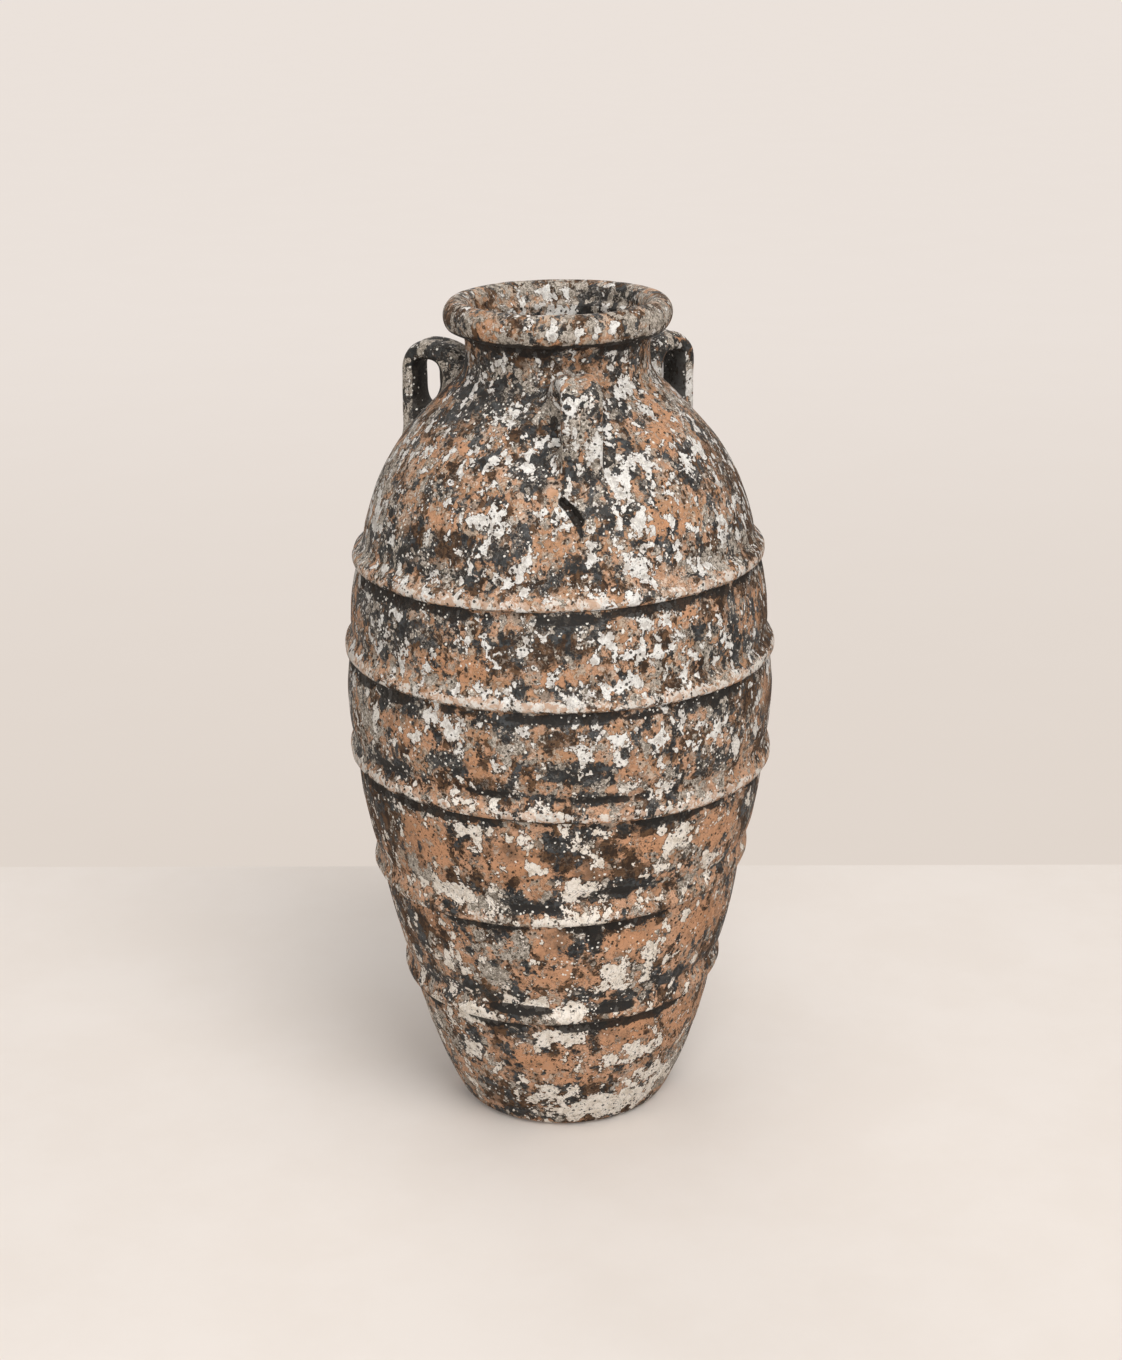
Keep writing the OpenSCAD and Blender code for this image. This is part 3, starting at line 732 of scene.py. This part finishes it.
def weathered(name, cream=0, dark=0, brown=0, grey=0, dusty=0, specks=1):
    """Bare terracotta under soot, earth and lime, in crisp ragged patches with specks round them. The
    numbers say how much more there is of each, 0 being the wall's own amount."""
    w = Wires(name)
    place = w.put("TexCoord").outputs["Object"]
    stain_a, stains_and_painted_light = (w.put("Attribute", attribute_name=kind) for kind in ("stain_a", "stains_and_painted_light"))
    creamy, sooty, earthy = w.split(stain_a.outputs["Color"])
    bare, highlight_and_wear, hollow_shade_and_soot = w.split(stains_and_painted_light.outputs["Color"])
    ashy, broad = stain_a.outputs["Alpha"], stains_and_painted_light.outputs["Alpha"]

    # two bent copies of space, and the clouds and cells that the layers share
    bent, curl = w.bent(place, 0.011, 0.010), w.bent(place, 0.0045, 0.0058)
    tall = w.math("MULTIPLY", bent, (1.1, 1.1, 0.75), kind="VectorMath")
    tone = w.cloud(w.moved(place, (0.9, 0.1, 0.4)), 0.028)
    zone = w.cloud(w.moved(place, (0.15, 0.75, 0.35)), 0.024, 2)
    mottle = w.cloud(bent, 0.008, 3, 0.7)
    grain = w.cloud(place, 0.0022, 2)
    scratch = w.cloud(curl, 0.0034, 2, 0.7, 1.2)
    nudged = w.put("Mix", {"Factor": 0.3, 4: place, 5: curl}, data_type="VECTOR").outputs[1]
    lobe_far, *lobe = w.cells(curl, 0.0064)
    leaf_far, *leaf = w.cells(w.moved(curl, (0.3, 0.6, 0.9)), 0.0034)
    three = w.split(w.cloud(tall, 0.0085, 2, tint=True))
    share = w.sum((broad, -0.45), 0.65)
    fine = [w.times(w.sum(one, -0.5), share) for one in three]

    def field(seed, size, stain, extra, pick, reach=0.25, clear=-0.14):
        """What decides where a patch lies: lumps, fine noise and cells, raised by its stain and lowered
        where the clay is bare."""
        lumps = w.cloud(w.moved(tall, (seed, seed * 0.7, -seed)), size, 1, 0.5)
        return w.sum((lumps, 0.85), fine[pick], (lobe[pick], 0.11), (leaf[(pick + 1) % 3], 0.09),
                     (lobe_far, -0.13), (leaf_far, -0.08), (stain, reach), (bare, clear), extra + 0.09)

    def patch(under, value, edge, over, rim, rim_share):
        """Lays a patch where value is over edge, with a thin dark rim round it."""
        wide, crisp = 0.045, 0.004
        near = w.step(value, edge - wide, edge - wide * 0.75)
        under = w.layer(w.times(near, rim_share), under, rim)
        return w.layer(w.step(value, edge - crisp, edge + crisp), under, over)

    def wash(under, cloudy, stain, share, over):
        """A thin cloudy wash, thickest where the stain is."""
        return w.layer(w.times(w.step(w.sum(cloudy, (stain, 0.24)), 0.50, 0.76), share), under, over)

    # bare clay, with paler and greyer films on it
    clay = w.layer(w.step(tone, 0.40, 0.60), "AB8160", "C99E7F")
    clay = w.layer(w.times(broad, 0.6), clay, w.layer(w.step(tone, 0.36, 0.62), "AC7F60", "D6AA8B"))
    clay = w.layer(w.times(w.step(mottle, 0.5, 0.62), w.sum((broad, -0.27), 0.37)), clay, "84604A")
    pale = w.cloud(w.moved(bent, (0.2, 0.5, 0.8)), 0.009, 3, 0.7)
    clay = w.layer(w.times(w.step(w.sum(tone, (bare, 0.3)), 0.5, 0.8), 0.7), clay, "C08A63")
    film_value = w.sum(pale, (leaf[0], 0.14), (lobe[2], 0.10), (leaf_far, -0.06), (bare, -0.10),
                       (broad, -0.03), dusty)
    film = w.layer(w.step(tone, 0.44, 0.56), "B9A48F", "D3B9A3")
    clay = patch(clay, film_value, 0.615, film, "6E533F", 0.55)

    # earth, soot, ash and lime, one over the other
    skin = wash(clay, tone, earthy, 0.75, "5A4535")
    earth = w.layer(w.step(mottle, 0.42, 0.58), "33251B", "604631")
    skin = patch(skin, field(0.11, 0.022, earthy, brown, 2), 0.565, earth, "554133", 0.5)

    dark_value = field(0.37, 0.021, sooty, dark, 1)
    char = w.layer(w.step(mottle, 0.42, 0.62), "1B1C1D", "464849")
    skin = patch(skin, dark_value, 0.575, char, "332C25", 0.5)
    skin = wash(skin, pale, sooty, 0.6, "262624")

    grey_value = w.sum(field(0.71, 0.018, ashy, grey, 0, 0.24), (lobe[0], -0.26), 0.13)
    ash = w.layer(w.step(scratch, 0.42, 0.6), "7D7468", "BBB0A3")
    skin = patch(skin, grey_value, 0.655, ash, "4E473F", 0.35)

    cream_value = w.sum(field(0.53, 0.016, creamy, cream, 0, 0.18, -0.08), (w.times(creamy, broad), 0.08))
    lime = w.layer(w.step(mottle, 0.36, 0.56), w.layer(broad, "BDB6AE", "D2C4B3"),
                   w.layer(broad, "E0DCD6", "EAE0D4"))
    lime = w.layer(w.times(w.step(scratch, 0.52, 0.62), 0.18), lime, "9C9084")
    skin = patch(skin, cream_value, 0.635, lime, "4C3E33", 0.75)

    # dark outlines of what flaked off, and pale and dark strokes
    edge_of = w.math("ABSOLUTE", w.sum(three[1], (lobe[1], 0.10), (leaf_far, 0.12), -0.60))
    skin = w.layer(w.times(w.step(edge_of, 0.015, 0.008), w.sum((broad, 0.25), 0.40)), skin, "3A2C20")
    for low, high, zone_low, zone_high, stroke in ((0.53, 0.62, 0.40, 0.60, "BDB0A2"),
                                                   (0.46, 0.37, 0.42, 0.58, "41352B")):
        strokes = w.times(w.step(scratch, low, high), w.step(zone, zone_low, zone_high))
        skin = w.layer(w.times(strokes, w.sum((broad, -0.26), 0.37)), skin, stroke)

    # pale crests, a painted highlight on the bands' tops with some wear, and dark hollows, painted shade with
    # some soot
    ragged = w.cloud(w.moved(bent, (0.6, 0.2, 0.1)), 0.012, 4, 0.65)
    pale_wear_and_highlight = w.step(w.sum(ragged, (leaf[0], 0.16), (highlight_and_wear, 0.24)), 0.79, 0.82)
    skin = w.layer(w.times(pale_wear_and_highlight, 0.8), skin, w.layer(w.step(mottle, 0.46, 0.54), "DDD5CB", "C5A68F"))
    # painted shade in undercuts, grooves, gaps and recesses, with some scattered soot
    shade_and_soot = w.step(w.sum((ragged, -1), 1, (hollow_shade_and_soot, 0.66)), 0.78, 0.88)
    skin = w.layer(w.times(shade_and_soot, 0.93), skin, "1E1C1A")

    # specks: pale ones, most on dark ground, and black ones, most on pale ground
    spot_far, spot_a, spot_b, _ = w.cells(w.moved(nudged, (0.31, 0.17, 0.23)), 0.0040)
    darkness = w.step(dark_value, 0.53, 0.58)
    pale_speck = w.times(w.step(w.sum((spot_far, -1), (spot_a, 0.20), 0.17), 0, 0.07),
                         w.step(w.sum(spot_b, (darkness, 0.34), (zone, 3)), 2.44, 2.49))
    skin = w.layer(w.times(pale_speck, specks), skin, "E0DAD0")
    dot_far, dot_a, dot_b, _ = w.cells(w.moved(nudged, (0.77, 0.42, 0.19)), 0.0042)
    dark_speck = w.times(w.step(w.sum((dot_far, -1), (dot_a, 0.22), 0.18), 0, 0.07),
                         w.step(w.sum(dot_b, (zone, -2)), -0.55, -0.50))
    skin = w.layer(w.times(dark_speck, 0.9 * specks), skin, "2A241E")
    skin = w.layer(w.times(w.step(grain, 0.45, 0.75), w.sum((broad, -0.06), 0.14)), skin, "5A4636")

    # crust, pits and grain
    crust = w.sum((w.step(cream_value, 0.59, 0.63), 0.55), (dark_speck, -0.5), (pale_speck, 0.3),
                  (grain, 0.5), (w.cloud(place, 0.0075, 3), 0.9))
    bump = w.put("Bump", {"Strength": 0.55, "Distance": 0.0011, "Height": crust})
    rough = w.put("MapRange", {"Value": darkness, "To Min": 0.86, "To Max": 0.62})
    return w.finished({"Base Color": skin, "Roughness": rough.outputs[0], "Specular IOR Level": 0.2,
                       "Normal": bump.outputs[0]})


clay = weathered("weathered_clay")
rim_clay = weathered("weathered_rim_clay", cream=-0.05, grey=0.05, dark=-0.01, brown=0.02, dusty=0.05,
                     specks=0.4)
sooty_clay = weathered("weathered_sooty_clay", cream=-0.09, dark=0.04, grey=-0.02, dusty=-0.04)
pale_clay = weathered("weathered_pale_clay", cream=0.01, grey=0.03, dark=-0.04, brown=-0.02)
grey_clay = weathered("weathered_grey_clay", dark=0.02, grey=0.02, brown=-0.01)


# The pieces

# Soot that lies over all else, as (angle, height, half width in degrees, half height, thickness)
SOOT = ((-23, 153, 13, 5, 1.2), (10, 151, 9, 5, 1.2), (-6, 548, 10, 5, 1.0), (-9, 459, 15, 5, 0.9),
        (0, 384, 13, 5, 0.7), (-26, 387, 10, 5, 0.7), (2, 238, 3, 12, 0.9), (-18, 272, 12, 5, 0.7),
        (7, 286, 11, 5, 0.7), (3, 130, 3, 10, 0.8), (-60, 388, 12, 5, 0.8), (14, 458, 8, 4, 0.7))
# Painted shade in the small slots at both sides of the front strap, as (angle, height, half height)
SLOTS = ((-9.8, 707, 5.5), (8.6, 677, 4))
SLOT_WIDTH, DEEP_SHADE = 1.5, 2.5
BACK = 172      # the angle that the photograph's camera sees straight across the throat
STRAP_TURN, STRAP_SHADE = 120, 11       # where the side straps are, and half the width of the painted shade behind each
CREST_HIGHLIGHT = (0.1, 0.5, 1.15, 1.2, 0.95)    # how strong the painted highlight on the crest of each band is, with some wear, from the lowest


def lumps_of_soot(points):
    a, _, z = polar(points)
    a = np.degrees(a)
    return np.maximum.reduce([thick * np.exp(-(((a - at) / wide) ** 2 + ((z - height) / tall) ** 2) ** 2)
                              for at, height, wide, tall, thick in SOOT])


def band_shade_and_soot(points):
    """The lumps of soot, and painted shade in the undercut below each band, here thick and there thin, and
    fainter in the groove above it.
    """
    shade_and_soot = lumps_of_soot(points)
    for i in range(5):
        over = points[:, 2] - joints[i + 1][1]
        thick = np.clip(0.66 + 0.8 * noise(points, 46, 51 + i) + 0.45 * noise(points, 17, 61 + i), 0.15, 1.25)
        shade_and_soot = np.maximum(shade_and_soot, thick * np.exp(-((over + 12) / (3.5 + 5 * thick)) ** 2))
        shade_and_soot = np.maximum(shade_and_soot, 0.30 * np.clip(thick, 0, 1) * np.exp(-((over - 16) / 5) ** 2))
    return shade_and_soot


# painted shade where the front strap stands off the shoulder
def slots(points):
    a, _, z = polar(points)
    a = np.degrees(a)
    return np.maximum(*(DEEP_SHADE * np.exp(-((a - at) / SLOT_WIDTH) ** 4 - ((z - height) / tall) ** 4)
                        for at, height, tall in SLOTS))


# Painted shade on the neck and shoulder behind each side strap's loop
def shade_behind_straps(points):
    a, _, z = polar(points)
    off = np.abs(np.abs(np.degrees(a)) - STRAP_TURN)
    return smooth(z, 690, 715) * (1 - smooth(off, STRAP_SHADE - 4, STRAP_SHADE))


def throat_light_shade_and_stains(points):
    """Shares of each stain: a pale patch of painted light, with some lime, down the back of the throat,
    painted shade next to it, and clay beyond.
    """
    a, r, _ = polar(points)
    inside = 1 - smooth(r, THROAT + 6, THROAT + 12)
    along_back = (np.degrees(a) - BACK + 180) % 360 - 180
    pale = inside * smooth(along_back, -18, -9) * (1 - smooth(along_back, 38, 56))
    black = inside * smooth(along_back, -64, -40) * (1 - smooth(along_back, -17, -8))
    outside = 1 - inside
    return np.stack([1.05 * pale, 1.2 * black, 0.1 * outside, 0.6 * pale + 0.2 * outside,
                     0.6 * inside * smooth(along_back, 40, 60)], 1)


def finish_piece(piece, points, node, shares=0.0, highlight_and_wear=0.0, shade_and_soot=0.0, moved=None):
    moved = settle(points) if moved is None else moved
    piece.data.vertices.foreach_set("co", (moved * MM).astype(np.float32).ravel())
    piece.data.update()
    paint(piece, points, shares, highlight_and_wear, shade_and_soot)
    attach(piece, "root")
    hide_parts(node)


def close_axis(piece):
    """Joins the points of a section's end that meet on the axis into one."""
    bm = bmesh.new()
    bm.from_mesh(piece.data)
    middle = [v for v in bm.verts if v.co.x ** 2 + v.co.y ** 2 < 1e-10]
    bmesh.ops.remove_doubles(bm, verts=middle, dist=1e-5)
    bm.to_mesh(piece.data)
    bm.free()


slab, points = turned_piece("slab_base", *slab_section(), clay, even_turns(360))
moved = settle(points)
moved[:, 2] = np.maximum(moved[:, 2], 0)
moved[points[:, 2] <= 0, 2] = 0
finish_piece(slab, points, "base_slab", moved=moved)
close_axis(slab)

for i in range(5):
    ring, points = turned_piece("ring_%d_wall" % (i + 1), *ring_section(i), clay, even_turns(560))
    # painted shade under and over each band, with soot
    finish_piece(ring, points, "wall_ring_%d" % (i + 1), shade_and_soot=band_shade_and_soot(points))

upper, points = turned_piece("shoulder_dome", *shoulder_section(), clay, front_turns(560, *GOUGE_ANGLES))
dent = gouge(points)
# painted shade in the gouge, in the slots by the front strap and behind the side straps, over the bands'
# shade and soot
shade_and_soot = np.maximum.reduce([band_shade_and_soot(points), smooth(dent, 0.3, 1.6) * DEEP_SHADE,
                          shade_behind_straps(points), slots(points)])
moved = settle(points) - along_wall(points) * dent[:, None]
finish_piece(upper, points, "shoulder", shade_and_soot=shade_and_soot, moved=moved)

collar, points = turned_piece("neck_collar", *neck_section(), clay, even_turns(420))
_, r, z = polar(points)
# painted shade deep inside the neck, and on the neck under the rim's overhang
within = r < NECK - 4
shade_under_rim = smooth(z, 752, 768) * (0.65 + 0.4 * noise(points, 40, 71))
shade_and_soot = np.where(within, 1.2 * (1 - smooth(z, 735, 752)), shade_under_rim)
finish_piece(collar, points, "neck", throat_light_shade_and_stains(points) * within[:, None], shade_and_soot=shade_and_soot)

lip, points = turned_piece("rim_roll", *rim_section(), rim_clay, even_turns(420))
_, r, z = polar(points)
# painted shade on the underside of the rim's roll, darkest where it meets the neck, and a faint painted
# highlight on its top
shade_and_soot = (0.9 * (1 - smooth(z, 770, 775)) + 0.4 * (1 - smooth(z, 773, 787))) * smooth(r, 84, 88)
finish_piece(lip, points, "rim", throat_light_shade_and_stains(points), 0.05 * smooth(z, 784, 797), shade_and_soot)

for i in range(5):
    band, points = turned_piece("band_%d_coil" % (i + 1), *band_section(i), pale_clay, even_turns(600))
    a, r, z = polar(points)
    stand = r - body(z)
    over = z - joints[i + 1][1]
    pressed = 1 + 0.16 * noise(points, 48, 81 + i) + 0.10 * noise(points, 15, 91 + i, 2)
    r = body(z) + np.where(stand > 0, stand * np.clip(pressed, 0.7, 1.12), stand)
    shaped = from_polar(a, r, z)
    # painted highlight along the band's crest, with some wear
    pale = CREST_HIGHLIGHT[i] + 0.6 * noise(points, 50, 101 + i)
    highlight_and_wear = smooth(over, -7.5, -4.5) * (1 - smooth(over, 0, 7)) * pale
    # painted shade on the band's undercut foot and on the wall below it, with soot
    shade_and_soot = np.maximum.reduce([0.9 * (1 - smooth(over, -8.6, -7.2)), band_shade_and_soot(points) * 0.6,
                              lumps_of_soot(points)])
    finish_piece(band, points, "band_%d" % (i + 1), highlight_and_wear=highlight_and_wear, shade_and_soot=shade_and_soot, moved=settle(shaped))

# For each strap: its turn in degrees, a seed, its clay, how pale its back is and how much painted shade lies
# inside its loop, and the shares of cream, dark, brown, grey and bare clay on its top and down its outer leg
STRAPS = (("front", 0, 250, grey_clay, 0.25, 0.2, (0, 0.1, 0, 0.35, 0), (0, 0.1, 0, 0.35, 0)),
          ("left", -STRAP_TURN, 260, sooty_clay, 0, 1.3, (0, 1.2, 0.2, 0.5, 0), (0, 0.8, 0, 0.9, 0)),
          ("right", STRAP_TURN, 270, grey_clay, 0.25, 1.3, (0, 0.9, 0, 0.3, 0), (1, 0, 0, 0.2, 0)))
for side, turn, seed, material, pale_back, loop_shade, top_shares, leg_shares in STRAPS:
    strap, points, out = handle_piece("strap_" + side, turn, seed, material)
    leg = (1 - smooth(points[:, 2], 722, 742))[:, None]
    shares = mix(np.array([top_shares]), np.array([leg_shares]), leg)
    # the faces inside the loop get painted shade
    highlight_and_wear, shade_and_soot = smooth(out, 0.5, 1) * pale_back, smooth(-out, 0.4, 0.8) * loop_shade
    moved = settle(points)
    if side == "front":
        dent = gouge(points)
        moved -= along_wall(points) * dent[:, None]
        # painted shade in the gouge and in the slots beside the strap
        shade_and_soot = np.maximum.reduce([shade_and_soot, smooth(dent, 0.3, 1.6) * DEEP_SHADE, slots(points)])
    finish_piece(strap, points, "handle_" + side, shares, highlight_and_wear, shade_and_soot, moved)


# Floor, backdrop, lamps and camera

TURN = np.radians(8)        # the jar stands with its front handle 8 degrees to the camera's right
CAMERA_ASIDE, CAMERA_BACK, CAMERA_UP = 0.0002, 2.185, 1.1846
PITCH, ROLL = np.radians(19.09), np.radians(-0.486)
SENSOR, PHOTO_HEIGHT, PIXELS_AWAY, FAR = 36.0, 1360, 2400, 100
# The backdrop starts where the photograph's does, at its slant, and lies flat, so that it hides the jar
# from no side
WALL_BACK, WALL_SLANT, WIDE = 0.537, np.radians(0.9), 40.0
# What the jar sees of the paper and of the sky, and the paper's clouds
PAPER_GREY, SKY_GREY, CLOUD = (0.60, 0.57, 0.54, 1.0), (0.35, 0.35, 0.35, 1.0), (0.60, 0.50, 0.41, 1.0)
BLACK = (0, 0, 0, 1)
# Each soft lamp's place (right, away, up), the height that it aims at, its size and its power
LAMPS = {"key": ((2.2, -4.6, 6.1), 0.3, 5.0, 340), "fill": ((-0.8, -7.6, 2.4), 0.2, 4.8, 205),
         "top": ((0.2, -0.8, 6.4), 0.3, 4.6, 115), "back": ((-1.5, 6.0, 4.6), 0.4, 5.0, 92)}


def around(x, y, z):
    """A place seen from the camera's side, as (right, away, up), in the frame's own axes."""
    c, s = np.cos(TURN), np.sin(TURN)
    return (x * c + y * s, -x * s + y * c, z)


def seen_straight(w):
    """1 for rays from the camera or from something shiny or clear, and 0 for the rest."""
    ray = w.put("LightPath").outputs
    seen = w.math("MAXIMUM", ray["Is Camera Ray"], ray["Is Glossy Ray"])
    return w.math("MAXIMUM", seen, ray["Is Transmission Ray"])


def paper(name, near, far, glow):
    """Studio paper, a little cloudy, of the colour near by the jar and of the colour far further off; on the
    backdrop the darker near colour is painted shade along the floor line.
    The camera sees it evenly lit, in part by a glow of its own, and it throws less light on the jar."""
    w = Wires(name)
    place = w.put("TexCoord").outputs["Object"]
    away = w.put("SeparateXYZ", {0: place}).outputs[1]
    shade = w.layer(w.step(away, -1.0, 4.5), near, far)
    cloud = w.step(w.cloud(place, 0.20, 5.0, 0.65), 0.35, 0.65)
    tint = w.layer(w.times(cloud, 0.12 * (1 - glow)), shade, CLOUD)
    seen = seen_straight(w)
    off = w.put("VectorMath", {0: place}, operation="LENGTH").outputs["Value"]
    glow = w.sum((w.step(off, 1.2, 3.0), 1.0 - glow), glow)
    lit = w.layer(seen, PAPER_GREY, w.layer(glow, tint, BLACK))
    return w.finished({"Base Color": lit, "Roughness": 0.95, "Specular IOR Level": 0.1,
                       "Emission Color": tint, "Emission Strength": w.times(seen, glow)})


def sheet(name, low, high, near, far, glow):
    """A flat sheet on the ground between two distances away from the camera's side of the jar."""
    mesh = bpy.data.meshes.new(name)
    mesh.from_pydata([(-WIDE, low, 0), (WIDE, low, 0), (WIDE, high, 0), (-WIDE, high, 0)], [], [(0, 1, 2, 3)])
    mesh.materials.append(paper(name, near, far, glow))
    piece = add_thing(name, mesh)
    piece.rotation_euler.z = -TURN - WALL_SLANT


# the backdrop's near colour is darker than its far one, painted shade along the floor line; the floor is a
# little darker towards the back
sheet("floor", -WIDE, WALL_BACK, "E3DAD2", "DFD5CD", 0.08)
sheet("backdrop", WALL_BACK, WIDE, "DCD1C7", "E8DFD8", 0.85)

for name, (at, aim, size, power) in LAMPS.items():
    light = bpy.data.lights.new(name, "AREA")
    light.shape, light.size, light.energy = "DISK", size, power
    thing = add_thing(name, light)
    thing.location = around(*at)
    thing.visible_camera = False
    thing.rotation_euler = (Vector(thing.location) - Vector((0, 0, aim))).to_track_quat("Z", "Y").to_euler()

world = bpy.data.worlds.new("studio")
world.use_nodes = True
sky = Wires("sky", world.node_tree)
seen_sky = sky.layer(seen_straight(sky), SKY_GREY, "E8DFD8")
sky.put("OutputWorld", {0: sky.put("Background", {"Color": seen_sky, "Strength": 1}).outputs[0]})
scene.world = world

view = bpy.data.cameras.new("view")
view.sensor_width, view.lens, view.clip_end = SENSOR, PIXELS_AWAY * SENSOR / PHOTO_HEIGHT, FAR
camera = add_thing("view", view)
camera.matrix_world = (Matrix.Translation(around(CAMERA_ASIDE, -CAMERA_BACK, CAMERA_UP))
                       @ Matrix.Rotation(-TURN, 4, "Z") @ Matrix.Rotation(np.pi / 2 - PITCH, 4, "X")
                       @ Matrix.Rotation(ROLL, 4, "Z"))
scene.camera = camera
scene.view_settings.view_transform = "Standard"
